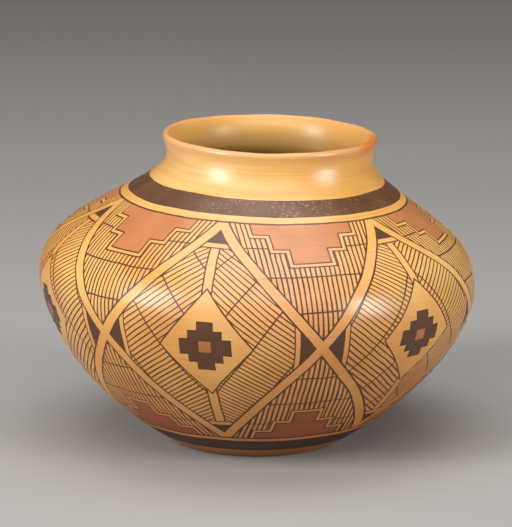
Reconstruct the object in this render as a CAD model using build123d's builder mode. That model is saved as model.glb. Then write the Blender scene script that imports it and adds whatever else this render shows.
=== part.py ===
"""Pueblo pottery jar, coil built: a pressed base and rings of clay luted on it, up to the lip.

The wall is drawn once, as an outside and an inside outline in the half section, radius against
height. Each coil is the ring between two sloping joints, where its inner edge laps down inside
the coil below it. The jar stands on its flat underside, with its axis along +Z. It is true up to
the belly; above, its rings shift and tilt towards +X, as the neck of this hand-built jar does.
"""

import os
from math import cos, isclose, radians, sin

from build123d import *

# Outside diameters, in millimetres, from the ground up
base_diameter = 101.0
belly_diameter = 254.0
shoulder_diameter = 205.0
throat_diameter = 120.0
lip_diameter = 124.5

# Heights, each measured from the place before it
belly_rise = 95.8
shoulder_rise = 35.4
neck_rise = 36.0
lip_rise = 10.8

# Lean of the neck: its start above the belly, the throat's shift off the axis, and the mouth's dip in degrees
upright_rise = 22.0
throat_shift = 7.8
mouth_angle = 1.85

# Angles of the outside, in degrees from level outwards: past a right angle, the wall leans inwards
foot_angle = 32.0
shoulder_angle = 145.5
lip_angle = 79.0

# How long a stretch of wall holds the direction of its lower and its upper end, as shares of its span
lower_wall_hold = (0.61, 0.136)
shoulder_hold = (0.43, 0.24)
neck_hold = (0.51, 0.20)
rim_hold = (0.32, 0.30)

# Clay: thickness of floor, wall and lip, the lap of a joint, and the rounding of the base's two corners
floor_thickness = 6.5
wall_thickness = 5.5
lip_thickness = 4.4
joint_lap = 4.0
foot_round = 6.0
floor_round = 20.0

# Rolls of clay in each stretch; the base takes one more share of the lower wall
lower_wall_coils = 7
shoulder_coils = 3
neck_coils = 4

# Spans between the level circles that a leaning coil is lofted through
loft_spans = 4


def heading(angle):
    """The direction in the half section that climbs at this angle."""
    return Vector(cos(radians(angle)), sin(radians(angle)))


def across(place, way, thickness, lap=0.0):
    """The place on the inside that a joint runs to: square through the wall, then down by the lap."""
    inwards = Vector(-way.Y, way.X)
    return place + inwards * thickness - way * lap


def stretch(start, start_way, end, end_way, hold):
    """A smooth stretch of outline that leaves and arrives in the given directions."""
    span = (end - start).length
    leaving = start + start_way * span * hold[0]
    arriving = end - end_way * span * hold[1]
    return Bezier(start, leaving, arriving, end)


# Directions of the outside at the ends of its stretches
foot_way = heading(foot_angle)
shoulder_way = heading(shoulder_angle)
lip_way = heading(lip_angle)
upwards = Vector(0, 1)

# Places on the outside of the half section, as radius and height
foot = Vector(base_diameter / 2, 0)
belly = Vector(belly_diameter / 2, belly_rise)
shoulder = Vector(shoulder_diameter / 2, belly.Y + shoulder_rise)
throat = Vector(throat_diameter / 2, shoulder.Y + neck_rise)
lip = Vector(lip_diameter / 2, throat.Y + lip_rise)

# The same places on the inside
foot_inside = foot + upwards * floor_thickness
belly_inside = across(belly, upwards, wall_thickness, joint_lap)
shoulder_inside = across(shoulder, shoulder_way, wall_thickness, joint_lap)
throat_inside = across(throat, upwards, wall_thickness, joint_lap)
lip_inside = across(lip, lip_way, lip_thickness)

# Outside and inside outline of each stretch of wall
lower_wall = (
    stretch(foot, foot_way, belly, upwards, lower_wall_hold),
    stretch(foot_inside, foot_way, belly_inside, upwards, lower_wall_hold),
)
shoulder_wall = (
    stretch(belly, upwards, shoulder, shoulder_way, shoulder_hold),
    stretch(belly_inside, upwards, shoulder_inside, shoulder_way, shoulder_hold),
)
neck_wall = (
    stretch(shoulder, shoulder_way, throat, upwards, neck_hold),
    stretch(shoulder_inside, shoulder_way, throat_inside, upwards, neck_hold),
)
rim_wall = (
    stretch(throat, upwards, lip, lip_way, rim_hold),
    stretch(throat_inside, upwards, lip_inside, lip_way, rim_hold),
)

# Height where the lean starts
lean_start = belly.Y + upright_rise


def leaning_plane(place):
    """The plane of the ring at a place on the outside: level below the lean, shifted and tilted in it."""
    share = (place.Y - lean_start) / (throat.Y - lean_start)
    share = min(max(share, 0), 1)
    lean = share * share * (3 - 2 * share)
    tilt = radians(mouth_angle * lean)
    centre = (throat_shift * lean, 0, place.Y)
    return Plane(centre, x_dir=(cos(tilt), 0, -sin(tilt)), z_dir=(sin(tilt), 0, cos(tilt)))


os.makedirs("parts", exist_ok=True)

# Base: the flat floor and the first share of the lower wall, pressed as one pat of clay
lower_share = 1 / (lower_wall_coils + 1)
base_outside, base_inside = [outline.trim(0, lower_share) for outline in lower_wall]

with BuildPart() as base_pat:
    with BuildSketch(Plane.XZ):
        with BuildLine():
            add([base_outside, base_inside])
            Line(base_outside @ 1, base_inside @ 1)
            Polyline(base_inside @ 0, (0, floor_thickness), (0, 0), base_outside @ 0)
        make_face()
    revolve(axis=Axis.Z)
    rings = base_pat.edges().filter_by(GeomType.CIRCLE)
    corners = rings.filter_by(lambda ring: isclose(ring.radius, foot.X, rel_tol=1e-6))
    foot_corner, floor_corner = corners.sort_by(Axis.Z)
    fillet(foot_corner, foot_round)
    fillet(floor_corner, floor_round)
base_pat.part.label = "base_pat"
export_step(base_pat.part, "parts/base_pat.step")

# Coils of the lower wall, above the base's share of it, turned about the axis
for number in range(1, lower_wall_coils + 1):
    start = number * lower_share
    outside, inside = [outline.trim(start, start + lower_share) for outline in lower_wall]
    with BuildPart() as lower_wall_coil:
        with BuildSketch(Plane.XZ):
            with BuildLine():
                add([outside, inside])
                Line(outside @ 0, inside @ 0)
                Line(outside @ 1, inside @ 1)
            make_face()
        revolve(axis=Axis.Z)
    lower_wall_coil.part.label = f"lower_wall_coil_{number}"
    export_step(lower_wall_coil.part, f"parts/lower_wall_coil_{number}.step")


def leaning_coil(name, outlines, coils, place):
    """One coil of a stretch that leans: its wall and its bore are lofts, and a cone is each of its joints."""
    shares = [(place + span / loft_spans) / coils for span in range(loft_spans + 1)]
    outside, inside = [[outline @ share for share in shares] for outline in outlines]
    planes = [leaning_plane(spot) for spot in outside]
    wall = list(zip(planes, outside))
    bore = [(plane.offset(inner.Y - outer.Y), inner) for plane, outer, inner in zip(planes, outside, inside)]
    lower_joint = [wall[0], bore[0]]
    upper_joint = [wall[-1], bore[-1]]
    with BuildPart() as coil:
        for mode, circles in (
            (Mode.ADD, wall),
            (Mode.ADD, lower_joint),
            (Mode.SUBTRACT, upper_joint),
            (Mode.SUBTRACT, bore),
        ):
            for plane, spot in circles:
                with BuildSketch(plane):
                    Circle(spot.X)
            loft(mode=mode)
    coil.part.label = name
    export_step(coil.part, f"parts/{name}.step")


# Coils of the shoulder, from the widest place inwards
for number in range(1, shoulder_coils + 1):
    leaning_coil(f"shoulder_coil_{number}", shoulder_wall, shoulder_coils, number - 1)

# Coils of the neck, which sweep up to the throat
for number in range(1, neck_coils + 1):
    leaning_coil(f"neck_coil_{number}", neck_wall, neck_coils, number - 1)

# Rim: the last coil, turned about the throat's own axis, with its lip rounded over
rim_outside, rim_inside = rim_wall
rim_level = leaning_plane(throat).offset(-throat.Y)

with BuildPart() as rim_coil:
    with BuildSketch(Plane(rim_level.origin, x_dir=rim_level.x_dir, z_dir=-rim_level.y_dir)):
        with BuildLine():
            add([rim_outside, rim_inside])
            Line(rim_outside @ 0, rim_inside @ 0)
            TangentArc(rim_outside @ 1, rim_inside @ 1, tangent=rim_outside % 1)
        make_face()
    revolve(axis=Axis(rim_level.origin, rim_level.z_dir))
rim_coil.part.label = "rim_coil"
export_step(rim_coil.part, "parts/rim_coil.step")
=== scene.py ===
# %% [markdown]
# This pottery jar is coil built: a pat of clay was pressed for the base, rolls of clay were laid on it ring
# by ring, pinched together and scraped thin, and the whole was burnished with a smooth stone. The packed
# CAD model holds the same rings as plain solids. It is loaded first, because every ring that we dress has
# to stay in its place, and each solid's box is read later, to show how far its ring reaches past it.

# %% Load the imported model
import math

import bpy
import numpy as np
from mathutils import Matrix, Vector


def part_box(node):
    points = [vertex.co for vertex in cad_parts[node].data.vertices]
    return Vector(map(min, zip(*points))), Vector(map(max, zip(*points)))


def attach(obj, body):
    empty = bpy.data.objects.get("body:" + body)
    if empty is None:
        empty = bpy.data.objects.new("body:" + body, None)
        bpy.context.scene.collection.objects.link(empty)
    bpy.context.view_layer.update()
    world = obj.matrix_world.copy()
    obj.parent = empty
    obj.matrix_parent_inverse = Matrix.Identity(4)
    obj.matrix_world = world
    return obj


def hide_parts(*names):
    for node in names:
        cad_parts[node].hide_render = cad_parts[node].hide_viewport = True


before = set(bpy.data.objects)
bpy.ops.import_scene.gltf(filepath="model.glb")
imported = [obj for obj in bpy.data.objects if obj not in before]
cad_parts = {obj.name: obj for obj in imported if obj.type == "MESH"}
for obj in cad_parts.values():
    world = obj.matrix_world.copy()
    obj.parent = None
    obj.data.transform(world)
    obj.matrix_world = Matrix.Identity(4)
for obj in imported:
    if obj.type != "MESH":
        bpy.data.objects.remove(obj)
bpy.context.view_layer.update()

print("pieces in the model:", len(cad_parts))

# %% [markdown]
# A jar that is turned or coiled is one outline, swept round an axis. We could trace the loaded meshes, but
# drawing the outline again from the same sizes gives clean, even loops, and it tells us how far up the wall
# each point is. That distance, the climb, is what a painter follows with a brush, so the painted bands will
# use it later. Each stretch of wall is a Bezier curve, sampled and measured by its length.

# %% Sizes of the jar, in millimetres
MM = 0.001
# Radius and height of the outside, where one stretch of wall passes into the next
foot, belly, shoulder, throat, lip = np.array(
    [(50.5, 0.0), (127.0, 95.8), (102.5, 131.2), (60.0, 167.2), (62.25, 178.0)]
)
# Directions of the wall, in degrees from level outwards: past a right angle it leans inwards
foot_angle, shoulder_angle, lip_angle, inner_lip_angle = 32.0, 145.5, 79.0, 54.0
floor_thickness, wall_thickness, throat_thickness, lip_thickness, joint_lap = 6.5, 5.5, 6.2, 4.4, 4.0
foot_round, floor_round = 6.0, 20.0
print(f"{2 * belly[0]:.0f} mm across the belly, {lip[1]:.0f} mm up to the edge of the lip")

# %% Curves of the half section
CURVE_POINTS = 800


def heading(angle):
    """Unit direction in the half section, radius and height, at this angle in degrees."""
    return np.array([math.cos(math.radians(angle)), math.sin(math.radians(angle))])


def across(place, way, thickness, lap=0.0):
    """Where a joint that starts at place on the outside comes out on the inside."""
    return place + np.array([-way[1], way[0]]) * thickness - way * lap


def stretch(start, start_way, end, end_way, hold):
    """A dense run of points along one Bezier stretch of the outline."""
    span = np.linalg.norm(end - start)
    leaving = start + start_way * span * hold[0]
    arriving = end - end_way * span * hold[1]
    t = np.linspace(0, 1, CURVE_POINTS)[:, None]
    return (1 - t)**3 * start + 3 * t * (1 - t)**2 * leaving + 3 * t**2 * (1 - t) * arriving + t**3 * end


def lengths(points):
    """Length along a run of points, from its start to each of them."""
    steps = np.linalg.norm(np.diff(points, axis=0), axis=1)
    return np.concatenate([[0.0], np.cumsum(steps)])


def at_shares(points, shares):
    """Places on a run of points, given as shares of its length."""
    run = lengths(points)
    wanted = np.asarray(shares) * run[-1]
    return np.column_stack([np.interp(wanted, run, points[:, axis]) for axis in (0, 1)])


print("points along each curve:", CURVE_POINTS)

# %% [markdown]
# The wall has two faces. The inside follows the outside at the thickness of the clay, but each joint comes
# out lower on it, because the potter pressed the inner edge of a new roll down inside the last one. At the
# mouth the inside opens like a funnel, up to the rounded lip.

# %% Outside and inside of each stretch
foot_way, shoulder_way, lip_way = heading(foot_angle), heading(shoulder_angle), heading(lip_angle)
upwards = np.array([0.0, 1.0])
lip_radius = lip_thickness / 2
lip_centre = lip - heading(lip_angle - 90) * lip_radius
inner_lip = lip_centre + heading(inner_lip_angle + 90) * lip_radius

outside_turns = [
    (foot, foot_way),
    (belly, upwards),
    (shoulder, shoulder_way),
    (throat, upwards),
    (lip, lip_way),
]
inside_turns = [
    (foot + upwards * floor_thickness, foot_way),
    (across(belly, upwards, wall_thickness, joint_lap), upwards),
    (across(shoulder, shoulder_way, wall_thickness, joint_lap), shoulder_way),
    (across(throat, upwards, throat_thickness, joint_lap), upwards),
    (inner_lip, heading(inner_lip_angle)),
]
# How long a stretch holds the direction of its lower and its upper end, as shares of its span
holds = {"lower_wall": (0.61, 0.136), "shoulder": (0.43, 0.24), "neck": (0.51, 0.20), "rim": (0.32, 0.30)}
inside_holds = holds | {"rim": (0.45, 0.36)}

outside, inside, climb_from = {}, {}, {}
lip_climb = 0.0
for index, name in enumerate(holds):
    outside[name] = stretch(*outside_turns[index], *outside_turns[index + 1], holds[name])
    inside[name] = stretch(*inside_turns[index], *inside_turns[index + 1], inside_holds[name])
    climb_from[name] = lip_climb
    lip_climb += lengths(outside[name])[-1]
    print(f"{name}: climb {climb_from[name]:.1f} to {lip_climb:.1f} mm")

# %% [markdown]
# On the real jar each roll of clay was bonded to the one below on a sloping joint, so a ring's section is a
# short curved bar: up the outside, over the joint, down the inside. Beside each point we note its climb,
# its girth and whether it faces inwards, because a brush or a scraper reaches only one side. The points
# crowd together at the joints, so that the shading runs on unbroken from one ring to the next.

# %% Sections of the coils
# Rolls of clay in each stretch: the base takes one more share of the lower wall
COILS = {"lower_wall": 7, "shoulder": 3, "neck": 4}
lower_share = 1 / (COILS["lower_wall"] + 1)
outside_shares = np.array([0, .02, .06, .13, .22, .32, .42, .5, .58, .68, .78, .87, .94, .98, 1])
inside_shares = np.array([1, .97, .85, .68, .5, .32, .15, .03, 0])
# Columns of a section
RADIUS, HEIGHT, CLIMB, INWARDS = range(4)


def side_of_wall(stretch_name, low, high, shares, inwards):
    """Rows of radius, height, climb and inwards (0 or 1) up or down one side of the wall."""
    outline = (inside if inwards else outside)[stretch_name]
    wanted = low + (high - low) * shares
    climbs = climb_from[stretch_name] + wanted * lengths(outside[stretch_name])[-1]
    return np.column_stack([at_shares(outline, wanted), climbs, np.full(len(wanted), float(inwards))])


def coil_section(stretch_name, low, high):
    """The closed section of one coil between two shares of its stretch."""
    up = side_of_wall(stretch_name, low, high, outside_shares, 0)
    down = side_of_wall(stretch_name, low, high, inside_shares, 1)
    return np.concatenate([up, down])


print("coils:", sum(COILS.values()), "with", len(outside_shares) + len(inside_shares), "points in a section")

# %% [markdown]
# The base is a pat of clay that was pressed flat, so its section starts and ends on the axis. It has a
# small round at the foot and a large one inside, each an arc that touches the flat and the wall. A bevel
# could round them later, but here the arcs' points keep their notes. Points of the underside count their
# climb below zero, which keeps the paint off them.

# %% Section of the base
# Points across the flats, and the gap in millimetres that they leave before an arc
UNDERSIDE_POINTS, FLOOR_POINTS, POINT_GAP = 9, 7, 0.5


def rounded_corner(corner, before, after, radius, count=8):
    """Points of an arc that rounds a corner between two unit directions."""
    half_turn = math.acos(float(np.clip(before @ after, -1, 1))) / 2
    reach = radius * math.tan(half_turn)
    centre = corner + (after - before) / np.linalg.norm(after - before) * radius / math.cos(half_turn)
    first, last = corner - before * reach - centre, corner + after * reach - centre
    shares = np.linspace(0, 1, count)[:, None]
    sweep = np.sin((1 - shares) * 2 * half_turn) * first + np.sin(shares * 2 * half_turn) * last
    return centre + sweep / math.sin(2 * half_turn)


outwards = np.array([1.0, 0.0])
foot_arc = rounded_corner(foot, outwards, foot_way, foot_round)
floor_arc = rounded_corner(inside_turns[0][0], -foot_way, -outwards, floor_round)
reach_of_round = math.tan(math.radians(foot_angle / 2))

flat_radii = np.linspace(0, foot_arc[0, RADIUS] - POINT_GAP, UNDERSIDE_POINTS)
underside = np.concatenate([np.column_stack([flat_radii, np.zeros(UNDERSIDE_POINTS)]), foot_arc])
below_wall = np.linspace(-foot_arc[0, RADIUS], 0, len(underside))
underside = np.column_stack([underside, below_wall, np.zeros(len(underside))])

wall_of_base = side_of_wall("lower_wall", 0, lower_share, outside_shares, 0)
wall_of_base = wall_of_base[wall_of_base[:, CLIMB] > foot_round * reach_of_round + POINT_GAP]
inner_of_base = side_of_wall("lower_wall", 0, lower_share, inside_shares, 1)
inner_of_base = inner_of_base[inner_of_base[:, CLIMB] > floor_round * reach_of_round + POINT_GAP]

floor_radii = np.linspace(floor_arc[-1, RADIUS] - 2 * POINT_GAP, 0, FLOOR_POINTS)
floor_flat = np.column_stack([floor_radii, np.full(FLOOR_POINTS, floor_thickness)])
floor_of_base = np.concatenate([floor_arc, floor_flat])
floor_of_base = np.column_stack([floor_of_base, np.full((len(floor_of_base), 2), (0.0, 1.0))])

base_section = np.concatenate([underside, wall_of_base, inner_of_base, floor_of_base])
print("points in the section of the base:", len(base_section))

# %% [markdown]
# The rim is the last coil, smoothed over with wet fingers: an arc runs over its crest and on into the
# funnel of the mouth. Over the crest the climb rises a little past the lip and falls again, so that a
# finish can find the top of it.

# %% Section of the rim
CREST_RISE, CREST_POINTS = 4.0, 13

rim_up = side_of_wall("rim", 0, 1, outside_shares, 0)
rim_down = side_of_wall("rim", 0, 1, inside_shares, 1)
crest_angles = np.linspace(lip_angle - 90, inner_lip_angle + 90, CREST_POINTS)[1:-1]
crest_shares = np.linspace(0, 1, CREST_POINTS)[1:-1]
crest = np.array([lip_centre + heading(angle) * lip_radius for angle in crest_angles])
crest = np.column_stack([crest, lip_climb + CREST_RISE * np.sin(crest_shares * math.pi), crest_shares])
rim_section = np.concatenate([rim_up, crest, rim_down])
print("points in the section of the rim:", len(rim_section))

# %% [markdown]
# A ring starts as a circle primitive with one vertex for each point of the section. The vertices are set on
# the outline, and the spin tool sweeps the loop round the axis, as a potter walks round the jar. Notes that
# a vertex carries are copied by the spin, so climb, girth and side are written before it. A spin meets
# itself at the end, so doubles are merged there, and only then are the faces turned outwards.

# %% Spin
TURN_STEPS = 288
# Doubles merge within this many metres, and a point lies on the axis within this many millimetres
MERGE_DISTANCE, ON_AXIS = 1e-5, 1e-6


def spun_ring(name, section):
    """A ring of the jar, swept from its section, with its notes for the painter."""
    bpy.ops.object.select_all(action="DESELECT")
    bpy.ops.mesh.primitive_circle_add(vertices=len(section), radius=1)
    ring = bpy.context.object
    ring.name = name
    ring.data.name = name
    for vertex, row in zip(ring.data.vertices, section):
        vertex.co = (row[RADIUS] * MM, 0, row[HEIGHT] * MM)
    for note, column in (("girth", RADIUS), ("climb", CLIMB), ("inwards", INWARDS)):
        ring.data.attributes.new(note, "FLOAT", "POINT").data.foreach_set("value", section[:, column].copy())
    bpy.ops.object.mode_set(mode="EDIT")
    bpy.ops.mesh.select_mode(type="EDGE")
    bpy.ops.mesh.select_all(action="DESELECT")
    bpy.ops.object.mode_set(mode="OBJECT")
    on_axis = section[:, RADIUS] < ON_AXIS
    for edge in ring.data.edges:
        edge.select = bool(on_axis[list(edge.vertices)].all())
    bpy.ops.object.mode_set(mode="EDIT")
    if on_axis.any():
        bpy.ops.mesh.delete(type="EDGE")
    bpy.ops.mesh.select_all(action="SELECT")
    bpy.ops.mesh.spin(steps=TURN_STEPS, angle=math.tau, center=(0, 0, 0), axis=(0, 0, 1))
    bpy.ops.mesh.select_all(action="SELECT")
    bpy.ops.mesh.remove_doubles(threshold=MERGE_DISTANCE)
    bpy.ops.mesh.normals_make_consistent(inside=False)
    bpy.ops.object.mode_set(mode="OBJECT")
    return ring


print(f"a step of the spin is {math.tau * belly[0] / TURN_STEPS:.1f} mm long at the belly")

# %% [markdown]
# No hand-built jar is true. The neck of this one leans to the right, and its mouth dips to that side. The
# solids lean in the same way, and the visible rings add what is smaller: a body that sways by a millimetre
# or two, a fuller right shoulder and front of the neck, faint waves where the fingers pressed, and a lip
# that is a little wavy and worn. All of it is one smooth rule of place, so two rings still meet after it.

# %% Lean and unevenness, in millimetres
THROAT_SHIFT, LEAN_START = 7.8, 117.8
# Sway to the right and tilt in degrees: how much is added between two heights
SWAY_STEPS = ((1.2, 0, 60), (-2.1, 75, 115), (0.9, 118, 168))
TILT_STEPS = ((0.85, 35, 100), (1.0, 105, 145), (-0.35, 166, 178))
# Waves: size, number round the jar, start, and the height over which a wave moves on by a radian
WALL_WAVES = ((0.20, 2, 0.6, 60), (0.15, 3, 2.1, -45), (0.09, 7, 0.0, 14), (0.07, 11, 0.0, -11))
LIP_WAVES = ((0.15, 5, 1.0), (0.08, 13, 0.4))
# Heights over which the wall's waves set in above the flat foot, and those over which the lip's do
FOOT_STEADY, LIP_LOOSE = (2, 25), (168, 178)
# Fuller places: size, heights of the rise and of the fall, turn in degrees, and cosines of the edge
FULLER_PLACES = {
    "right shoulder": (0.7, (100, 118), (138, 158), 0, (0.3, 1.0)),
    "front of the neck": (2.8, (149, 163), (163, 177), -87, (0.15, 0.75)),
}
# How far the lip is worn down, all round and at its front left
LIP_WEAR = 0.3
FRONT_WEAR, FRONT_WEAR_RISE, FRONT_WEAR_TURN, FRONT_WEAR_EDGE = 0.6, (150, 176), -115, (0.2, 1.0)


def ease(value, low, high):
    """0 below low, 1 above high, and a smooth rise between them."""
    share = np.clip((value - low) / (high - low), 0, 1)
    return share * share * (3 - 2 * share)


def settle_by_hand(ring):
    """Moves a ring's vertices as the wet clay settled."""
    mesh = ring.data
    places = np.empty(len(mesh.vertices) * 3)
    mesh.vertices.foreach_get("co", places)
    x, y, z = places.reshape(-1, 3).T / MM
    turn = np.arctan2(y, x)
    swell = sum(size * np.sin(count * turn + start + z / rise) for size, count, start, rise in WALL_WAVES)
    swell *= ease(z, *FOOT_STEADY)
    for size, rise, fall, facing, edge in FULLER_PLACES.values():
        faced = ease(np.cos(turn - math.radians(facing)), *edge)
        swell += size * ease(z, *rise) * (1 - ease(z, *fall)) * faced
    shift = THROAT_SHIFT * ease(z, LEAN_START, throat[1])
    shift += sum(size * ease(z, low, high) for size, low, high in SWAY_STEPS)
    tilt = np.radians(sum(size * ease(z, low, high) for size, low, high in TILT_STEPS))
    faced = ease(np.cos(turn - math.radians(FRONT_WEAR_TURN)), *FRONT_WEAR_EDGE)
    worn = FRONT_WEAR * ease(z, *FRONT_WEAR_RISE) * faced
    lip_wave = sum(size * np.sin(count * turn + start) for size, count, start in LIP_WAVES)
    moved_x = x + swell * np.cos(turn) + shift
    moved_y = y + swell * np.sin(turn)
    moved_z = z - np.tan(tilt) * x - worn + (lip_wave - LIP_WEAR) * ease(z, *LIP_LOOSE)
    mesh.vertices.foreach_set("co", (np.column_stack([moved_x, moved_y, moved_z]) * MM).ravel())
    mesh.update()


mouth_tilt = sum(size for size, _, _ in TILT_STEPS)
print(f"the throat is shifted by {THROAT_SHIFT} mm, and the mouth is tilted by {mouth_tilt:.1f} degrees")

# %% [markdown]
# Each ring takes the place of the solid of the same name. A stretch of wall is shared out evenly among its
# coils, and the base is the first share of the lower wall. Shading is smooth by angle, which leaves the
# joint faces crisp and the outside even.

# %% Build the rings
CRISP_ANGLE = math.radians(40)

sections = {"base_pat": base_section}
for name, count in COILS.items():
    below = 1 if name == "lower_wall" else 0
    for number in range(1, count + 1):
        low = (number - 1 + below) / (count + below)
        high = (number + below) / (count + below)
        sections[f"{name}_coil_{number}"] = coil_section(name, low, high)
sections["rim_coil"] = rim_section

rings = {}
for node, section in sections.items():
    ring = spun_ring(f"{node}_clay", section)
    settle_by_hand(ring)
    bpy.ops.object.shade_smooth_by_angle(angle=CRISP_ANGLE)
    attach(ring, "root")
    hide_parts(node)
    rings[node] = ring
    reach = max(vertex.co.x for vertex in ring.data.vertices)
    further = (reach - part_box(node)[1][0]) / MM
    print(f"{node}: {len(ring.data.polygons)} faces, {further:+.1f} mm further right than its solid")

# %% [markdown]
# Colours are written as sRGB hex values, as a paint chart gives them, and turned to the linear numbers that
# shaders work in. One helper adds a node, sets it up and links it, so that a finish reads as a list of
# steps. A Mix node has inputs for every kind of value, so the places of its colour inputs are named once.

# %% Colour and node helpers
MIX_FACTOR, MIX_UNDER, MIX_OVER, MIX_RESULT = 0, 6, 7, 2


def colour(hex_code):
    """Linear RGBA of an sRGB hex colour."""
    parts = [int(hex_code[place:place + 2], 16) / 255 for place in (1, 3, 5)]
    return [part / 12.92 if part <= 0.04045 else ((part + 0.055) / 1.055)**2.4 for part in parts] + [1.0]


def add_node(tree, kind, inputs=(), out=0, **settings):
    """Adds a node with its settings, sets or links its inputs by place or name, and gives one output."""
    node = tree.nodes.new(kind)
    for name, value in settings.items():
        setattr(node, name, value)
    for key, value in inputs.items() if isinstance(inputs, dict) else enumerate(inputs):
        if isinstance(value, bpy.types.NodeSocket):
            tree.links.new(value, node.inputs[key])
        else:
            node.inputs[key].default_value = value
    return node.outputs[out] if node.outputs else node


def new_finish(name):
    """An empty material and its node tree."""
    finish = bpy.data.materials.new(name)
    finish.use_nodes = True
    finish.node_tree.nodes.clear()
    return finish, finish.node_tree


print("middle grey in linear light:", round(colour("#808080")[0], 3))

# %% [markdown]
# The paint follows the wall, so it is placed by the notes on the mesh: the climb up the wall, the girth
# there and the turn round the axis. The turn is measured from the front, so its seam lies at the back,
# where the pattern repeats anyway. A slow noise moves the place by up to a millimetre, and a quicker one by
# much less, as a hand does.

# %% Place on the wall
# Range of the shift that each noise gives, and the length of its waves, in millimetres
HAND_DRIFT, DRIFT_LENGTH = 2.4, 40.0
HAND_TREMOR, TREMOR_LENGTH = 0.5, 7.0
NOISE_MIDDLE = (0.5, 0.5, 0.5)


def place_on_wall(tree):
    """Sockets for the place of a point: climb, girth, turn, inwards, and the point itself in millimetres."""
    point = add_node(tree, "ShaderNodeTexCoord", out="Object")
    point = add_node(tree, "ShaderNodeVectorMath", {0: point, "Scale": 1 / MM}, operation="SCALE")
    x = add_node(tree, "ShaderNodeSeparateXYZ", [point], out="X")
    forward = add_node(tree, "ShaderNodeMath", [x.node.outputs["Y"], -1.0], operation="MULTIPLY")
    place = {"point": point}
    place["turn"] = add_node(tree, "ShaderNodeMath", [x, forward], operation="ARCTAN2")
    for note in ("girth", "climb", "inwards"):
        place[note] = add_node(tree, "ShaderNodeAttribute", out="Fac", attribute_name=note)
    return place


def drawn_by_hand(tree, place):
    """Adds to a place the climb and the shift round the wall that an unsteady hand gives."""
    sway = (0.0, 0.0, 0.0)
    for amount, length in ((HAND_DRIFT, DRIFT_LENGTH), (HAND_TREMOR, TREMOR_LENGTH)):
        noise = add_node(tree, "ShaderNodeTexNoise",
                         {"Vector": place["point"], "Scale": 1 / length, "Detail": 1.0}, out="Color")
        part = add_node(tree, "ShaderNodeVectorMath", [noise, NOISE_MIDDLE], operation="SUBTRACT")
        part = add_node(tree, "ShaderNodeVectorMath", {0: part, "Scale": amount}, operation="SCALE")
        sway = add_node(tree, "ShaderNodeVectorMath", [part, sway], operation="ADD")
    along = add_node(tree, "ShaderNodeSeparateXYZ", [sway], out="X")
    place["sideways"] = along.node.outputs["Y"]
    place["drawn_climb"] = add_node(tree, "ShaderNodeMath", [place["climb"], along], operation="ADD")
    return place


print(f"the climb ends at {lip_climb:.1f} mm, on the edge of the lip")

# %% [markdown]
# The body is a fine iron-bearing clay that fires from cream to orange buff. Where the fuel lay, the fire
# left clouds, soft changes of tone about as wide as a hand. One slow noise, read through a ramp of three
# buffs, is enough for them. A new ramp runs from black to white, so those two stops go once ours are in.

# %% Fire clouds
CLOUD_SIZE = 85.0
CLOUD_TONES = {0.36: "#E9B56B", 0.50: "#DFA053", 0.66: "#D28B44"}


def fire_clouds(tree, place):
    """The buff of the fired clay, with its clouds."""
    cloud = add_node(tree, "ShaderNodeTexNoise",
                     {"Vector": place["point"], "Scale": 1 / CLOUD_SIZE, "Detail": 3.0})
    tone = add_node(tree, "ShaderNodeValToRGB", [cloud])
    stops = tone.node.color_ramp.elements
    for position, hex_code in CLOUD_TONES.items():
        stops.new(position).color = colour(hex_code)
    stops.remove(stops[0])
    stops.remove(stops[-1])
    return tone


print("buffs of the fire clouds:", ", ".join(CLOUD_TONES.values()))

# %% [markdown]
# The jar was rubbed with a pebble while leather hard, round and round, so the strokes are long and narrow.
# A noise is stretched to that shape: its place is scaled by the length of a stroke round the wall, and by
# its width up the climb. Narrow streaks change the gloss, and broader smears leave some orange on the neck.

# %% Strokes of the stone
STROKE_LENGTH = 50.0
# Width across a stroke in millimetres, and how much finer detail it has
STROKES = {"streak": (1.3, 0.8), "smear": (5.0, 2.5)}


def stone_strokes(tree, place):
    """Noises stretched round the wall, one for each kind of stroke."""
    flat = add_node(tree, "ShaderNodeVectorMath", {0: place["point"], "Scale": 1 / STROKE_LENGTH},
                    operation="SCALE")
    flat_x = add_node(tree, "ShaderNodeSeparateXYZ", [flat], out="X")
    flat_y = flat_x.node.outputs["Y"]
    rubbed = {}
    for name, (width, detail) in STROKES.items():
        rise = add_node(tree, "ShaderNodeMath", [place["climb"], 1 / width], operation="MULTIPLY")
        along = add_node(tree, "ShaderNodeCombineXYZ", [flat_x, flat_y, rise])
        rubbed[name] = add_node(tree, "ShaderNodeTexNoise", {"Vector": along, "Scale": 1.0, "Detail": detail})
    return rubbed


print("strokes:", ", ".join(f"{name} {width} mm wide" for name, (width, _) in STROKES.items()))

# %% [markdown]
# The jar also has tones with a place of their own: a cream neck with a painted highlight on its lit left,
# a painted sheen on the upper front, painted shade that makes the low wall more orange and the foot darker,
# a pinkish crest with an orange blush on its right, and an inside below the neck that was only scraped, so
# it is duller and darker, with painted shade deepening it. Each is a mask, from the climb or from the
# distance to a point, and some are kept to a part of the wall by a second mask. Painting them on a texture
# would do as well, but a mask can be changed by one number.

# %% Masks of the clay
# Climbs between which a mask changes, its value at either end, and how it changes
BY_CLIMB = {
    "pale neck": (150.0, 215.0, 0.0, 0.6, "SMOOTHSTEP"),
    # Painted shade: the low wall turns darker and more orange towards the foot
    "shaded low wall": (15.0, 95.0, 0.75, 0.0, "SMOOTHSTEP"),
    # Painted shade: the foot is darker still
    "shaded foot": (10.0, 16.0, 0.8, 0.0, "LINEAR"),
    "rubbed most": (180.0, 208.0, 0.2, 1.0, "LINEAR"),
    "crest": (lip_climb - 3.0, lip_climb + 1.0, 0.0, 0.55, "LINEAR"),
    "near the lip": (lip_climb - 5.0, lip_climb, 0.0, 1.0, "LINEAR"),
    # The inside below the neck was only scraped; its darker tone there is partly painted shade
    "scraped and shaded": (219.0, 245.0, 1.0, 0.0, "SMOOTHSTEP"),
    "dull low wall": (30.0, 110.0, 0.14, 0.0, "LINEAR"),
}
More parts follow.
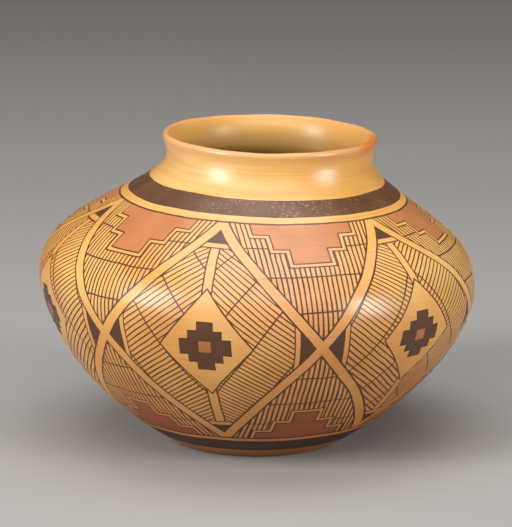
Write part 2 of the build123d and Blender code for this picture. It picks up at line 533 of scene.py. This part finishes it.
# Middle of a blush, the distances where it starts to fade and ends, and its strength
BY_DISTANCE = {
    # Painted highlight on the lit left of the neck
    "lit left of the neck": ((-38.0, -46.0, 160.0), 15.0, 62.0, 0.8),
    # Painted sheen on the upper front of the body
    "front sheen": ((12.0, -104.0, 130.0), 20.0, 75.0, 0.28),
    "lip blush": ((67.0, -17.0, 176.0), 8.0, 30.0, 0.85),
}
# Part of the smear noise that shows, and its strength
SMEAR_LOW, SMEAR_HIGH, SMEAR_STRENGTH = 0.45, 0.72, 0.45
# Masks that show only where a second one does
KEPT_TO = {
    "lit left of the neck": "pale neck",
    "lip blush": "near the lip",
    "scraped and shaded": "inwards",
    "smear": "rubbed most",
}


def clay_masks(tree, place, rubbed):
    """Masks of the clay's blushes and wear, by name."""
    masks = {"inwards": place["inwards"]}
    for name, (low, high, start, end, change) in BY_CLIMB.items():
        masks[name] = add_node(tree, "ShaderNodeMapRange", [place["climb"], low, high, start, end],
                               interpolation_type=change)
    for name, (middle, fading, end, strength) in BY_DISTANCE.items():
        away = add_node(tree, "ShaderNodeVectorMath", [place["point"], middle], out="Value",
                        operation="DISTANCE")
        masks[name] = add_node(tree, "ShaderNodeMapRange", [away, fading, end, strength, 0.0],
                               interpolation_type="SMOOTHSTEP")
    masks["smear"] = add_node(tree, "ShaderNodeMapRange",
                              [rubbed["smear"], SMEAR_LOW, SMEAR_HIGH, 0.0, SMEAR_STRENGTH])
    for name, limit in KEPT_TO.items():
        masks[name] = add_node(tree, "ShaderNodeMath", [masks[name], masks[limit]], operation="MULTIPLY")
    return masks


print("masks of the clay:", len(BY_CLIMB) + len(BY_DISTANCE) + 1)

# %% [markdown]
# Now the clay comes together: fire clouds, then the tints one over another. The strokes of the stone shade
# the tints under them and leave those of the lip and the scraped inside alone. Burnishing gives a satin
# gloss, which varies a little from stroke to stroke, is duller low on the wall and is mostly gone where the
# clay was only scraped.

# %% Burnished buff clay
TINTS_UNDER_STROKES = {
    "pale neck": "#DFA953",
    # painted highlight on the lit left of the neck
    "lit left of the neck": "#E6C88C",
    # painted sheen on the upper front of the body
    "front sheen": "#E2B096",
    # painted shade on the low wall
    "shaded low wall": "#E07F26",
    # painted shade on the foot
    "shaded foot": "#9C5F30",
    "smear": "#D98E42",
}
# The scraped tint inside the mouth is darker partly as painted shade
TINTS_OVER_STROKES = {"crest": "#DDA06C", "lip blush": "#D67528", "scraped and shaded": "#8F6A36"}
# A noise hardly leaves this range, so it is stretched from it
NOISE_RANGE = (0.3, 0.7)
STREAK_SHADE = (-0.03, 0.03)
BURNISHED_ROUGHNESS, SCRAPED_ROUGHER = (0.26, 0.34), 0.3
# Real pores are finer than a tenth of a millimetre: these are drawn coarser, so that they show
PORE_SIZE, PORE_SHARE = 0.8, 0.5


def buff_clay(tree, place):
    """Colour, roughness and relief sockets of the bare burnished clay."""
    rubbed = stone_strokes(tree, place)
    masks = clay_masks(tree, place, rubbed)
    tone = fire_clouds(tree, place)
    for name, hex_code in TINTS_UNDER_STROKES.items():
        tone = add_node(tree, "ShaderNodeMix",
                        {MIX_FACTOR: masks[name], MIX_UNDER: tone, MIX_OVER: colour(hex_code)},
                        out=MIX_RESULT, data_type="RGBA")
    shade = add_node(tree, "ShaderNodeMapRange", [rubbed["streak"], *NOISE_RANGE, *STREAK_SHADE])
    shade = add_node(tree, "ShaderNodeMath", [shade, masks["rubbed most"], 1.0], operation="MULTIPLY_ADD")
    tone = add_node(tree, "ShaderNodeVectorMath", {0: tone, "Scale": shade}, operation="SCALE")
    for name, hex_code in TINTS_OVER_STROKES.items():
        tone = add_node(tree, "ShaderNodeMix",
                        {MIX_FACTOR: masks[name], MIX_UNDER: tone, MIX_OVER: colour(hex_code)},
                        out=MIX_RESULT, data_type="RGBA")
    rough = add_node(tree, "ShaderNodeMapRange", [rubbed["streak"], *NOISE_RANGE, *BURNISHED_ROUGHNESS])
    rough = add_node(tree, "ShaderNodeMath", [masks["scraped and shaded"], SCRAPED_ROUGHER, rough],
                     operation="MULTIPLY_ADD")
    rough = add_node(tree, "ShaderNodeMath", [rough, masks["dull low wall"]], operation="ADD")
    pores = add_node(tree, "ShaderNodeTexNoise",
                     {"Vector": place["point"], "Scale": 1 / PORE_SIZE, "Detail": 2.0})
    ridges = add_node(tree, "ShaderNodeMath", [rubbed["streak"], masks["rubbed most"]], operation="MULTIPLY")
    relief = add_node(tree, "ShaderNodeMath", [pores, PORE_SHARE, ridges], operation="MULTIPLY_ADD")
    return {"colour": tone, "rough": rough, "relief": relief}


print("tints of the clay:", len(TINTS_UNDER_STROKES) + len(TINTS_OVER_STROKES))

# %% [markdown]
# Plain bands ring the jar, drawn with the jar turning under a steady brush: a dark band round the neck,
# with a buff stripe and a thin line below it, and the same the other way up round the foot. A band is only
# a range of the climb, so one test of the drawn climb, against its middle and half its width, makes it.

# %% Painted bands
DARK_BANDS = {
    "foot band": (12.2, 27.2),
    "foot line": (30.6, 32.2),
    "neck line": (194.4, 195.6),
    "neck band": (200.2, 213.5),
}


def dark_bands(tree, place):
    """1 on the dark rings round foot and neck."""
    painted = 0.0
    for low, high in DARK_BANDS.values():
        band = add_node(tree, "ShaderNodeMath", [place["drawn_climb"], (low + high) / 2, (high - low) / 2],
                        operation="COMPARE")
        painted = add_node(tree, "ShaderNodeMath", [painted, band], operation="MAXIMUM")
    return painted


print("bands:", ", ".join(f"{name} {high - low:.1f} mm" for name, (low, high) in DARK_BANDS.items()))

# %% [markdown]
# The wide field between the bands holds six large diamonds. Six repeats close evenly round the jar, so the
# turn is folded into one repeat, from its middle outwards. How far a point is inside a diamond follows from
# how far it is sideways and up, each as a share of half the diamond. Divided by the slope of that sum it is
# in millimetres, so frames keep their width though the girth changes.

# %% Diamonds
# Diamonds round the jar, and the share of one by which they are turned to the left of the front
REPEATS, FIRST_DIAMOND = 6, 0.22
field_low, field_high = DARK_BANDS["foot line"][1], DARK_BANDS["neck line"][0]
field_middle, field_half = (field_low + field_high) / 2, (field_high - field_low) / 2


def fold_into_repeat(tree, place):
    """Adds to a place its shares and distances in one repeat of the painted field."""
    repeat = add_node(tree, "ShaderNodeMath", [place["turn"], REPEATS / math.tau, FIRST_DIAMOND + 0.5],
                      operation="MULTIPLY_ADD")
    number = add_node(tree, "ShaderNodeMath", [repeat], operation="FLOOR")
    place["every_second"] = add_node(tree, "ShaderNodeMath", [number, 1.0], operation="PINGPONG")
    repeat = add_node(tree, "ShaderNodeMath", [repeat], operation="FRACT")
    share = add_node(tree, "ShaderNodeMath", [repeat, 0.5], operation="SUBTRACT")
    reach = add_node(tree, "ShaderNodeMath", [place["girth"], math.tau / REPEATS], operation="MULTIPLY")
    aside = add_node(tree, "ShaderNodeMath", [share, reach, place["sideways"]], operation="MULTIPLY_ADD")
    place["aside"] = add_node(tree, "ShaderNodeMath", [aside], operation="ABSOLUTE")
    half = add_node(tree, "ShaderNodeMath", [reach, 0.5], operation="MULTIPLY")
    place["from_corner"] = add_node(tree, "ShaderNodeMath", [half, place["aside"]], operation="SUBTRACT")
    above = add_node(tree, "ShaderNodeMath", [place["drawn_climb"], field_middle], operation="SUBTRACT")
    place["away"] = add_node(tree, "ShaderNodeMath", [above], operation="ABSOLUTE")
    place["upper"] = add_node(tree, "ShaderNodeMath", [above, 0.0], operation="GREATER_THAN")
    side_share = add_node(tree, "ShaderNodeMath", [place["aside"], half], operation="DIVIDE")
    up_share = add_node(tree, "ShaderNodeMath", [place["away"], 1 / field_half], operation="MULTIPLY")
    place["tip"] = add_node(tree, "ShaderNodeMath", [side_share, up_share], operation="MAXIMUM")
    used = add_node(tree, "ShaderNodeMath", [side_share, up_share], operation="ADD")
    place["room"] = add_node(tree, "ShaderNodeMath", [1.0, used], operation="SUBTRACT")
    slope = add_node(tree, "ShaderNodeMath", [1.0, half], operation="DIVIDE")
    slope = add_node(tree, "ShaderNodeMath", [slope, slope, 1 / field_half**2], operation="MULTIPLY_ADD")
    place["slope"] = add_node(tree, "ShaderNodeMath", [slope, 0.5], operation="POWER")
    place["depth"] = add_node(tree, "ShaderNodeMath", [place["room"], place["slope"]], operation="DIVIDE")
    return place


diamond_width = math.tau * belly[0] / REPEATS
print(f"a diamond is {2 * field_half:.0f} mm up the wall and {diamond_width:.0f} mm round the belly")

# %% [markdown]
# A buff band with a thin line on either side frames each diamond, and a narrow spine divides it. Fine lines
# slope away from the spine, up in one diamond and down in the next, and a few rails cross them. The pitch
# of the lines is measured square to them, so it is stretched by their slope before it counts millimetres
# upwards.

# %% Fine lines
FRAME_WIDTH, LINE_WIDTH = 5.4, 0.95
HATCH_PITCH, HATCH_SLOPE = 2.85, 0.78
RAIL_PITCH, RAIL_SLOPE, RAIL_HALF_WIDTH = 23.0, 1.35, 0.75
SPINE_HALF_WIDTH = 2.3
# Tips of a diamond, as shares of its half: the line that cuts them off, half its width, and the solid part
TIP_START, TIP_HALF_LINE, TIP_SOLID = 0.755, 0.006, 0.80


def fine_lines(tree, value, pitch, half_width):
    """1 on evenly spaced lines across a value that counts millimetres."""
    beside = add_node(tree, "ShaderNodeMath", [value, pitch / 2], operation="PINGPONG")
    return add_node(tree, "ShaderNodeMath", [beside, half_width], operation="LESS_THAN")


def frame_lines(tree, place, half_line):
    """1 on the two thin lines of the diamonds' frames."""
    edge = add_node(tree, "ShaderNodeMath", [place["depth"]], operation="ABSOLUTE")
    edge = add_node(tree, "ShaderNodeMath", [edge, (FRAME_WIDTH + LINE_WIDTH) / 2], operation="SUBTRACT")
    edge = add_node(tree, "ShaderNodeMath", [edge], operation="ABSOLUTE")
    return add_node(tree, "ShaderNodeMath", [edge, half_line], operation="LESS_THAN")


def hatching(tree, place, half_line):
    """1 on the dark paint inside the frames: hatching, rails, spine and solid tips."""
    lines = 0.0
    for pitch, slope, half_width in (
        (HATCH_PITCH, HATCH_SLOPE, half_line),
        (RAIL_PITCH, -RAIL_SLOPE, RAIL_HALF_WIDTH),
    ):
        turned = add_node(tree, "ShaderNodeMath", [place["every_second"], -2 * slope, slope],
                          operation="MULTIPLY_ADD")
        rise = add_node(tree, "ShaderNodeMath", [place["aside"], turned, place["drawn_climb"]],
                        operation="MULTIPLY_ADD")
        drawn = fine_lines(tree, rise, pitch * math.hypot(1, slope), half_width)
        lines = add_node(tree, "ShaderNodeMath", [lines, drawn], operation="MAXIMUM")
    clear = add_node(tree, "ShaderNodeMath", [place["aside"], SPINE_HALF_WIDTH], operation="GREATER_THAN")
    lines = add_node(tree, "ShaderNodeMath", [lines, clear], operation="MULTIPLY")
    spine = add_node(tree, "ShaderNodeMath",
                     [place["aside"], SPINE_HALF_WIDTH + LINE_WIDTH / 2, LINE_WIDTH / 2], operation="COMPARE")
    lines = add_node(tree, "ShaderNodeMath", [lines, spine], operation="MAXIMUM")
    before_tip = add_node(tree, "ShaderNodeMath", [place["tip"], TIP_START], operation="LESS_THAN")
    lines = add_node(tree, "ShaderNodeMath", [lines, before_tip], operation="MULTIPLY")
    tip_edge = add_node(tree, "ShaderNodeMath", [place["tip"], TIP_START, TIP_HALF_LINE], operation="COMPARE")
    solid = add_node(tree, "ShaderNodeMath", [place["tip"], TIP_SOLID], operation="GREATER_THAN")
    for marks in (tip_edge, solid):
        lines = add_node(tree, "ShaderNodeMath", [lines, marks], operation="MAXIMUM")
    inner = add_node(tree, "ShaderNodeMath", [place["depth"], FRAME_WIDTH / 2 + LINE_WIDTH],
                     operation="GREATER_THAN")
    return add_node(tree, "ShaderNodeMath", [lines, inner], operation="MULTIPLY")


print(f"hatching: {10 / HATCH_PITCH:.1f} lines to the centimetre")

# %% [markdown]
# Stepped shapes fill the rest: a terrace of red slip hangs from the neck line between the diamonds, another
# rises from the foot line, and a dark stepped cross sits in a small diamond at the heart of each large one.
# A terrace loses the same width at every step, so its half width is a stair of the distance from its base.
# Drawn again a little smaller, the same stair leaves an outline.

# %% Stepped shapes
STEP_WIDTH, STEP_HEIGHT = 9.0, 11.0
# Half width and height of the terraces, and how far in each of their two outlines begins and ends
LOWER_TERRACE, UPPER_TERRACE = (28.0, 33.0), (32.0, 33.0)
OUTLINE_EDGES = (0.0, 0.95, 2.7, 3.6)
CROSS_REACH, CROSS_STEP, PIP_REACH = 15.0, 5.0, 3.4
HEART_SHARE = 0.42
RAIN_RAIL_PITCH, RAIN_RAIL_HALF_WIDTH = 21.0, 0.45


def terrace(tree, aside, depth, half_width, height, inset=0.0, step=(STEP_WIDTH, STEP_HEIGHT)):
    """1 inside a stepped shape that narrows with depth, drawn smaller by the inset."""
    deeper = add_node(tree, "ShaderNodeMath", [depth, inset], operation="ADD")
    stair = add_node(tree, "ShaderNodeMath", [deeper, 1 / step[1]], operation="MULTIPLY")
    stair = add_node(tree, "ShaderNodeMath", [stair], operation="FLOOR")
    reach = add_node(tree, "ShaderNodeMath", [stair, -step[0], half_width], operation="MULTIPLY_ADD")
    spread = add_node(tree, "ShaderNodeMath", [aside, inset], operation="ADD")
    wide = add_node(tree, "ShaderNodeMath", [spread, reach], operation="LESS_THAN")
    deep = add_node(tree, "ShaderNodeMath", [deeper, height], operation="LESS_THAN")
    return add_node(tree, "ShaderNodeMath", [wide, deep], operation="MULTIPLY")


def terraces_and_rain(tree, place, half_line):
    """Masks between the diamonds: dark outlines and fine upright lines, and the red of the terraces."""
    depth = add_node(tree, "ShaderNodeMath", [field_half, place["away"]], operation="SUBTRACT")
    half_width, height = [
        add_node(tree, "ShaderNodeMath", [place["upper"], upper - lower, lower], operation="MULTIPLY_ADD")
        for lower, upper in zip(LOWER_TERRACE, UPPER_TERRACE)
    ]
    hull, edge, gap, red = [
        terrace(tree, place["from_corner"], depth, half_width, height, inset) for inset in OUTLINE_EDGES
    ]
    outline = add_node(tree, "ShaderNodeMath", [hull, edge], operation="SUBTRACT")
    inline = add_node(tree, "ShaderNodeMath", [gap, red], operation="SUBTRACT")
    dark = add_node(tree, "ShaderNodeMath", [outline, inline], operation="ADD")
    rain = fine_lines(tree, place["from_corner"], HATCH_PITCH, half_line)
    rails = fine_lines(tree, place["away"], RAIN_RAIL_PITCH, RAIN_RAIL_HALF_WIDTH)
    rain = add_node(tree, "ShaderNodeMath", [rain, rails], operation="MAXIMUM")
    bare = add_node(tree, "ShaderNodeMath", [1.0, hull], operation="SUBTRACT")
    rain = add_node(tree, "ShaderNodeMath", [rain, bare], operation="MULTIPLY")
    dark = add_node(tree, "ShaderNodeMath", [dark, rain], operation="ADD")
    outer = add_node(tree, "ShaderNodeMath", [place["depth"], -FRAME_WIDTH / 2 - LINE_WIDTH],
                     operation="LESS_THAN")
    return [add_node(tree, "ShaderNodeMath", [marks, outer], operation="MULTIPLY") for marks in (dark, red)]


def heart_of_diamond(tree, place):
    """Masks of the small middle diamond: its whole, its dark lines and cross, and the red pip."""
    depth = add_node(tree, "ShaderNodeMath", [place["room"], 1 - HEART_SHARE], operation="SUBTRACT")
    depth = add_node(tree, "ShaderNodeMath", [depth, place["slope"]], operation="DIVIDE")
    whole = add_node(tree, "ShaderNodeMath", [depth, 0.0], operation="GREATER_THAN")
    edge = add_node(tree, "ShaderNodeMath", [depth, LINE_WIDTH / 2, LINE_WIDTH / 2], operation="COMPARE")
    cross = terrace(tree, place["aside"], place["away"], CROSS_REACH, CROSS_REACH,
                    step=(CROSS_STEP, CROSS_STEP))
    pip = terrace(tree, place["aside"], place["away"], PIP_REACH, PIP_REACH)
    cross = add_node(tree, "ShaderNodeMath", [cross, pip], operation="SUBTRACT")
    dark = add_node(tree, "ShaderNodeMath", [edge, cross], operation="MAXIMUM")
    return whole, dark, pip


terrace_steps, cross_steps = UPPER_TERRACE[1] / STEP_HEIGHT, CROSS_REACH / CROSS_STEP
print(f"steps in a terrace: {terrace_steps:.0f}, in the cross: {cross_steps:.0f}")

# %% [markdown]
# The neck band was handled for years: flecks of its paint are rubbed thin, most of them on one side. A fine
# noise gives the flecks. A slow one and the turn towards the hand are added to it, so that more of it
# passes the point where the paint starts to go.

# %% Worn paint
FLECK_SIZE, PATCH_SIZE = 1.6, 13.0
# Turn from the front that was handled most, in radians, and the cosine to either side where that ends
HANDLED_TURN, HANDLED_EDGE = 0.38, 0.55
PATCH_RANGE, WEAR_ADDED = (0.40, 0.70), 0.10
# Wear where the paint starts to thin and where it is thinnest, how much is gone there, and room for drift
THINNING, MOST_GONE, BAND_MARGIN = (0.70, 0.92), 0.42, 1.0


def worn_paint(tree, place):
    """How much of the paint is rubbed off the neck band."""
    fleck, patch = [
        add_node(tree, "ShaderNodeTexNoise", {"Vector": place["point"], "Scale": 1 / size, "Detail": detail})
        for size, detail in ((FLECK_SIZE, 2.0), (PATCH_SIZE, 1.0))
    ]
    handled = add_node(tree, "ShaderNodeMath", [place["turn"], HANDLED_TURN], operation="SUBTRACT")
    handled = add_node(tree, "ShaderNodeMath", [handled], operation="COSINE")
    wear = fleck
    for cause, low, high in ((handled, HANDLED_EDGE, 1.0), (patch, *PATCH_RANGE)):
        more = add_node(tree, "ShaderNodeMapRange", [cause, low, high, 0.0, WEAR_ADDED])
        wear = add_node(tree, "ShaderNodeMath", [wear, more], operation="ADD")
    gone = add_node(tree, "ShaderNodeMapRange", [wear, *THINNING, 0.0, MOST_GONE])
    low, high = DARK_BANDS["neck band"]
    band = add_node(tree, "ShaderNodeMath",
                    [place["climb"], (low + high) / 2, (high - low) / 2 + BAND_MARGIN], operation="COMPARE")
    return add_node(tree, "ShaderNodeMath", [gone, band], operation="MULTIPLY")


print(f"the handled side lies {math.degrees(HANDLED_TURN):.0f} degrees to the right of the front")

# %% [markdown]
# Dark paint covers what is under it, so the dark marks are joined by the larger of two masks, and the whole
# pattern is kept inside its field and on the outside of the wall. A full brush draws a broader line than an
# empty one, so a slow noise changes the lines' width, and low on the wall they are all a little broader.

# %% All painted marks
BRUSH_LENGTH = 12.0
HALF_LINE = (0.42, 0.59)
# Climbs between which the lines get broader downwards, and by how much
BROADER_BELOW, BROADEST = (60.0, 130.0), 1.2


def painted_marks(tree, place):
    """Masks of dark paint and red slip over the wall."""
    place = fold_into_repeat(tree, drawn_by_hand(tree, place))
    load = add_node(tree, "ShaderNodeTexNoise",
                    {"Vector": place["point"], "Scale": 1 / BRUSH_LENGTH, "Detail": 2.0})
    half_line = add_node(tree, "ShaderNodeMapRange", [load, *NOISE_RANGE, *HALF_LINE])
    broader = add_node(tree, "ShaderNodeMapRange", [place["climb"], *BROADER_BELOW, BROADEST, 1.0])
    half_line = add_node(tree, "ShaderNodeMath", [half_line, broader], operation="MULTIPLY")
    heart, heart_dark, pip = heart_of_diamond(tree, place)
    outside_heart = add_node(tree, "ShaderNodeMath", [1.0, heart], operation="SUBTRACT")
    dark = hatching(tree, place, half_line)
    dark = add_node(tree, "ShaderNodeMath", [dark, outside_heart], operation="MULTIPLY")
    corner_dark, red = terraces_and_rain(tree, place, half_line)
    for marks in (heart_dark, corner_dark, frame_lines(tree, place, half_line)):
        dark = add_node(tree, "ShaderNodeMath", [dark, marks], operation="MAXIMUM")
    red = add_node(tree, "ShaderNodeMath", [red, pip], operation="MAXIMUM")
    field = add_node(tree, "ShaderNodeMath", [place["drawn_climb"], field_middle, field_half],
                     operation="COMPARE")
    dark = add_node(tree, "ShaderNodeMath", [dark, field], operation="MULTIPLY")
    red = add_node(tree, "ShaderNodeMath", [red, field], operation="MULTIPLY")
    dark = add_node(tree, "ShaderNodeMath", [dark, dark_bands(tree, place)], operation="MAXIMUM")
    dark = add_node(tree, "ShaderNodeMath", [dark, worn_paint(tree, place)], operation="SUBTRACT",
                    use_clamp=True)
    outer_side = add_node(tree, "ShaderNodeMath", [place["inwards"], 0.5], operation="LESS_THAN")
    return [
        add_node(tree, "ShaderNodeMath", [marks, outer_side], operation="MULTIPLY") for marks in (dark, red)
    ]


print(f"fine lines are {2 * HALF_LINE[0]:.1f} to {2 * HALF_LINE[1]:.1f} mm wide on the upper wall")

# %% [markdown]
# The upper neck and the rim carry bare clay. It needs no more than the clay's three sockets and a faint
# bump, and its IOR is a typical one for fired and burnished clay.

# %% Bare clay
CLAY_IOR = 1.55
BUMP = {"Strength": 0.08, "Distance": 0.2 * MM}


def burnished_buff_clay():
    """Bare clay, rubbed with a pebble: satin, warm and streaked round the wall."""
    finish, tree = new_finish("burnished_buff_clay")
    clay = buff_clay(tree, place_on_wall(tree))
    relief = add_node(tree, "ShaderNodeBump", BUMP | {"Height": clay["relief"]})
    shader = add_node(tree, "ShaderNodeBsdfPrincipled", {
        "Base Color": clay["colour"], "Roughness": clay["rough"], "Normal": relief, "IOR": CLAY_IOR})
    add_node(tree, "ShaderNodeOutputMaterial", {"Surface": shader})
    return finish


finishes = {"burnished_buff_clay": burnished_buff_clay()}
print("nodes in the bare clay:", len(finishes["burnished_buff_clay"].node_tree.nodes))

# %% [markdown]
# All below the upper neck is painted, so its finish starts from the same clay and lays slip and paint over
# it. The red is an ochre slip that was rubbed with the body, so it keeps its gloss. It is deeper at the foot
# with painted shade and paler above with painted sheen. The dark is an iron and plant paint, laid on with a
# chewed leaf for a brush: nearly black at the foot with painted shade, browner towards the neck with painted
# sheen, uneven from stroke to stroke, and a little duller than the clay.

# %% Slip and paint
WASH_SIZE = 16.0
# The slip is deeper at the foot as painted shade and paler above as painted sheen
SLIP_LOW, SLIP_HIGH, SLIP_CLIMB, SLIP_COAT = "#9C481B", "#BF7A4B", (20.0, 190.0), (1.08, 0.92)
# Tones of the paint by their share of the climb, how much its coat varies, covers and dulls
# The paint is nearly black at the foot as painted shade and browner at the neck as painted sheen
PAINT_TONES = {0.14: "#1C0904", 0.28: "#3B1508", 0.60: "#3B1508", 0.92: "#553427"}
PAINT_COAT, PAINT_COVER, PAINT_DULLER = (1.35, 0.65), 0.94, 0.10


def slip_and_paint(tree, place):
    """Colours of the red slip and of the dark paint, with painted shade low and painted sheen high, and with
    the unevenness of their coats.
    """
    wash = add_node(tree, "ShaderNodeTexNoise",
                    {"Vector": place["point"], "Scale": 1 / WASH_SIZE, "Detail": 4.0})
    high = add_node(tree, "ShaderNodeMapRange", [place["climb"], *SLIP_CLIMB],
                    interpolation_type="SMOOTHSTEP")
    slip = add_node(tree, "ShaderNodeMix",
                    {MIX_FACTOR: high, MIX_UNDER: colour(SLIP_LOW), MIX_OVER: colour(SLIP_HIGH)},
                    out=MIX_RESULT, data_type="RGBA")
    share = add_node(tree, "ShaderNodeMapRange", [place["climb"], 0.0, lip_climb])
    paint = add_node(tree, "ShaderNodeValToRGB", [share])
    stops = paint.node.color_ramp.elements
    for position, hex_code in PAINT_TONES.items():
        stops.new(position).color = colour(hex_code)
    stops.remove(stops[0])
    stops.remove(stops[-1])
    coats = []
    for tone, coat in ((slip, SLIP_COAT), (paint, PAINT_COAT)):
        thickness = add_node(tree, "ShaderNodeMapRange", [wash, *NOISE_RANGE, *coat])
        coats.append(add_node(tree, "ShaderNodeVectorMath", {0: tone, "Scale": thickness}, operation="SCALE"))
    return coats


def painted_slip_clay():
    """The same satin clay under soft red slip and brown-black paint, which is a shade less glossy."""
    finish, tree = new_finish("painted_slip_clay")
    place = place_on_wall(tree)
    clay = buff_clay(tree, place)
    dark, red = painted_marks(tree, place)
    slip, paint = slip_and_paint(tree, place)
    cover = add_node(tree, "ShaderNodeMath", [dark, PAINT_COVER], operation="MULTIPLY")
    shown = clay["colour"]
    for mask, coat in ((red, slip), (cover, paint)):
        shown = add_node(tree, "ShaderNodeMix", {MIX_FACTOR: mask, MIX_UNDER: shown, MIX_OVER: coat},
                         out=MIX_RESULT, data_type="RGBA")
    rough = add_node(tree, "ShaderNodeMath", [dark, PAINT_DULLER, clay["rough"]], operation="MULTIPLY_ADD")
    relief = add_node(tree, "ShaderNodeBump", BUMP | {"Height": clay["relief"]})
    shader = add_node(tree, "ShaderNodeBsdfPrincipled", {
        "Base Color": shown, "Roughness": rough, "Normal": relief, "IOR": CLAY_IOR})
    add_node(tree, "ShaderNodeOutputMaterial", {"Surface": shader})
    return finish


finishes["painted_slip_clay"] = painted_slip_clay()
print("nodes in the painted clay:", len(finishes["painted_slip_clay"].node_tree.nodes))

# %% [markdown]
# The finishes go on the rings by name. The joint between bare and painted clay lies inside the plain neck,
# where both finishes are the same clay, so no edge shows.

# %% Dress the rings
bare_rings = ("neck_coil_4", "rim_coil")
for node, ring in rings.items():
    slot = "burnished_buff_clay" if node in bare_rings else "painted_slip_clay"
    ring.data.materials.append(finishes[slot])
print("rings of bare clay:", ", ".join(bare_rings))

# %% [markdown]
# The jar stands on a plain, matt and pale table top. Light that bounces off it reaches up under the belly,
# and a table that is pale to the eye but gives back less light keeps the lower wall in shade. So the table
# has two greys, and the kind of ray that meets it decides between them.

# %% Table top
TABLE_SIZE, TABLE_ROUGHNESS = 14.0, 0.8
TABLE_SEEN, TABLE_BOUNCE = "#A6A3A0", "#8A8784"

bpy.ops.object.select_all(action="DESELECT")
bpy.ops.mesh.primitive_plane_add(size=TABLE_SIZE)
floor = bpy.context.object
floor.name = "table_top"
table, tree = new_finish("matt_table")
seen = add_node(tree, "ShaderNodeLightPath", out="Is Camera Ray")
for ray in ("Is Glossy Ray", "Is Transmission Ray"):
    also = add_node(tree, "ShaderNodeLightPath", out=ray)
    seen = add_node(tree, "ShaderNodeMath", [seen, also], operation="MAXIMUM")
pale = add_node(tree, "ShaderNodeMix",
                {MIX_FACTOR: seen, MIX_UNDER: colour(TABLE_BOUNCE), MIX_OVER: colour(TABLE_SEEN)},
                out=MIX_RESULT, data_type="RGBA")
shader = add_node(tree, "ShaderNodeBsdfPrincipled", {"Base Color": pale, "Roughness": TABLE_ROUGHNESS})
add_node(tree, "ShaderNodeOutputMaterial", {"Surface": shader})
floor.data.materials.append(table)
print("table top:", TABLE_SIZE, "m wide")

# %% [markdown]
# The glints on belly and neck are softboxes that the gloss reflects, so a tall one stands well off on
# either side. A low card on the left lifts the shade under the belly there, a bank in front lights the side
# that we see, and a softbox overhead gives the broad sheen on the shoulder. The room itself adds very
# little.

# %% Light
LIT_POINT = Vector((0.0, 0.0, 0.11))
# Place, width and height in metres, and power in watts
SOFTBOXES = {
    "left_softbox": ((-2.20, -1.40, 1.21), (0.80, 1.54), 62.5),
    "low_left_card": ((-1.75, -1.45, 0.20), (1.0, 0.4), 4.0),
    "right_softbox": ((2.37, -1.314, 0.77), (0.70, 1.30), 41.0),
    "front_bank": ((0.0, -1.20, 1.35), (2.2, 0.9), 13.6),
    "overhead_softbox": ((0.0, -0.02, 1.5), (1.3, 1.0), 12.0),
}
ROOM = {"Color": colour("#FFF8F0"), "Strength": 0.09}

for name, (place, (wide, tall), power) in SOFTBOXES.items():
    bpy.ops.object.light_add(type="AREA", location=place)
    box = bpy.context.object
    box.name = name
    box.data.shape = "RECTANGLE"
    box.data.size = wide
    box.data.size_y = tall
    box.data.energy = power
    box.rotation_euler = (LIT_POINT - box.location).to_track_quat("-Z", "Y").to_euler()
world = bpy.data.worlds.new("studio")
world.use_nodes = True
for name, value in ROOM.items():
    world.node_tree.nodes["Background"].inputs[name].default_value = value
bpy.context.scene.world = world
bpy.context.scene.view_settings.view_transform = "Standard"
print("lights:", ", ".join(SOFTBOXES))

# %% [markdown]
# The photographer stood well back with a long lens, a little above the rim, so the jar is hardly
# foreshortened. Height, distance and focal length are the ones that put rim, neck band and base where the
# photograph has them.

# %% Camera
PHOTO_WIDTH, FOCAL_PIXELS, SENSOR_WIDTH = 512, 3307, 36.0
VIEW_DISTANCE, VIEW_ELEVATION = 1.933, math.radians(12.77)
VIEW_POINT = Vector((-0.0005, 0.0, 0.1027))

bpy.ops.object.camera_add()
camera = bpy.context.object
camera.name = "studio_camera"
camera.data.sensor_fit = "HORIZONTAL"
camera.data.sensor_width = SENSOR_WIDTH
camera.data.lens = FOCAL_PIXELS / PHOTO_WIDTH * SENSOR_WIDTH
view_way = Vector((0, -math.cos(VIEW_ELEVATION), math.sin(VIEW_ELEVATION)))
camera.location = VIEW_POINT + VIEW_DISTANCE * view_way
camera.rotation_euler = (math.pi / 2 - VIEW_ELEVATION, 0, 0)
bpy.context.scene.camera = camera
print("camera at", [round(value, 3) for value in camera.location], "lens", round(camera.data.lens, 1), "mm")
